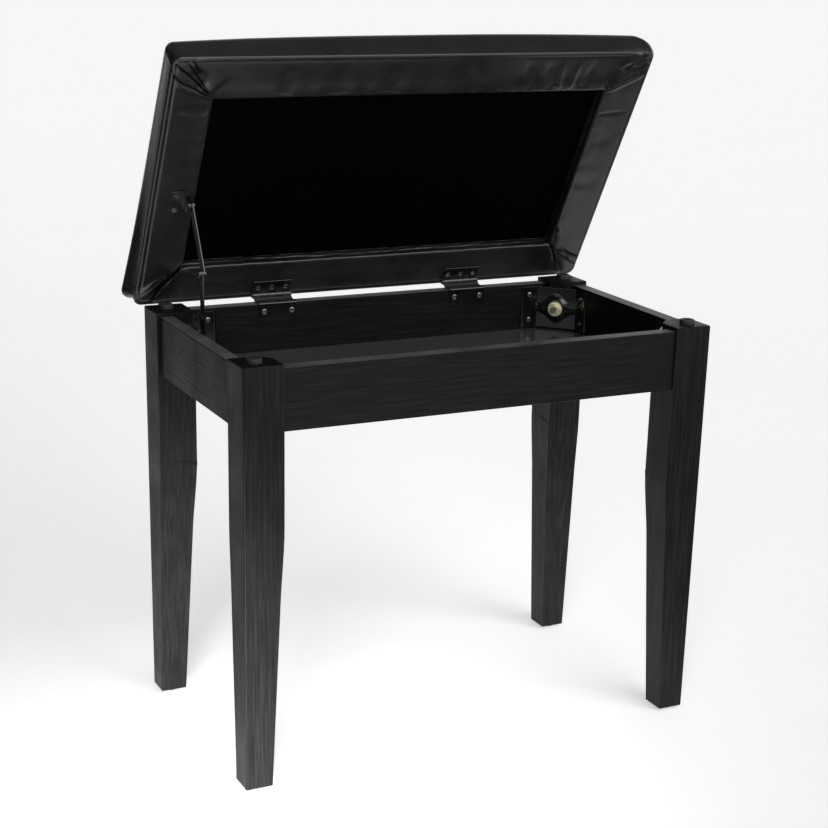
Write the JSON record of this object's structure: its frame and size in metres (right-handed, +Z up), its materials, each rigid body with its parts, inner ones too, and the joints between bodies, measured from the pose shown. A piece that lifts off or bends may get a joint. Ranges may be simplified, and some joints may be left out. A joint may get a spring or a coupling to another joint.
{
  "type": "piano bench",
  "caption": "Piano bench with tapered legs, an open storage box and a padded lid on hinges, held open by a folding stay.",
  "frame": {"origin": "on the floor, under the middle of the overall box of the bench as it stands with its lid open", "axes": "+X to the right seen from the front, +Y to the back where the hinges are, +Z up"},
  "size_m": [0.556, 0.3344, 0.736],
  "materials": {
    "black_wood": "satin",
    "gloss_panel": "gloss",
    "black_steel": "gloss",
    "black_plastic": "matte",
    "black_rubber": "matte",
    "yellow_zinc": "satin",
    "dark_screw": "satin",
    "frame_wood": "matte",
    "ply_board": "matte",
    "seat_foam": "matte",
    "black_leather": "satin",
    "black_cloth": "matte",
    "staple_steel": "satin"
  },
  "bodies": {
    "bench": {"leg_front_left": "black_wood", "leg_front_right": "black_wood", "leg_back_left": "black_wood", "leg_back_right": "black_wood", "apron_front": "black_wood", "apron_back": "black_wood", "apron_left": "black_wood", "apron_right": "black_wood", "bottom_panel": "gloss_panel", "corner_bracket_front_left": "black_steel", "corner_bracket_front_right": "black_steel", "corner_bracket_back_left": "black_steel", "corner_bracket_back_right": "black_steel", "foot_glides": "black_plastic", "lid_bumpers": "black_rubber", "hanger_bolts": "yellow_zinc", "bolt_washers": "yellow_zinc", "bolt_nuts": "yellow_zinc", "bracket_screws": "dark_screw", "hinge_box_screws": "dark_screw", "hinge_left_box_leaf": "black_steel", "hinge_right_box_leaf": "black_steel", "hinge_left_pin": "black_steel", "hinge_right_pin": "black_steel", "stay_apron_plate": "black_steel", "stay_apron_pin": "black_steel", "stay_apron_screws": "dark_screw"},
    "lid": {"seat_cover": "black_leather", "seat_foam": "seat_foam", "seat_board": "ply_board", "lid_rail_front": "frame_wood", "lid_rail_back": "frame_wood", "lid_rail_left": "frame_wood", "lid_rail_right": "frame_wood", "dust_cover": "black_cloth", "cover_staples": "staple_steel", "hinge_left_lid_leaf": "black_steel", "hinge_right_lid_leaf": "black_steel", "hinge_lid_screws": "dark_screw", "stay_lid_bracket": "black_steel", "stay_lid_pin": "black_steel", "stay_lid_screws": "dark_screw"},
    "stay_lower": {"stay_lower_arm": "black_steel", "stay_elbow_knob": "black_steel"},
    "stay_upper": {"stay_upper_arm": "black_steel", "stay_elbow_rivet": "black_steel"}
  },
  "joints": [
    {"name": "lid_hinge", "type": "hinge", "parent": "bench", "child": "lid", "pos_m": [0, 0.132, 0.4517], "axis": [1, 0, 0], "range_deg": [0, 61]},
    {"name": "stay_lower_pivot", "type": "hinge", "parent": "bench", "child": "stay_lower", "pos_m": [-0.23675, 0.0278, 0.411], "axis": [1, 0, 0], "range_deg": [0, 94.5]},
    {"name": "stay_upper_pivot", "type": "hinge", "parent": "lid", "child": "stay_upper", "pos_m": [-0.23465, 0.06472, 0.56647], "axis": [1, 0, 0], "range_deg": [-90.5, 0]}
  ],
  "couplings": [
    {"joint": "stay_lower_pivot", "follows": "lid_hinge", "ratio": 1.5451},
    {"joint": "stay_upper_pivot", "follows": "lid_hinge", "ratio": -1.4744}
  ]
}
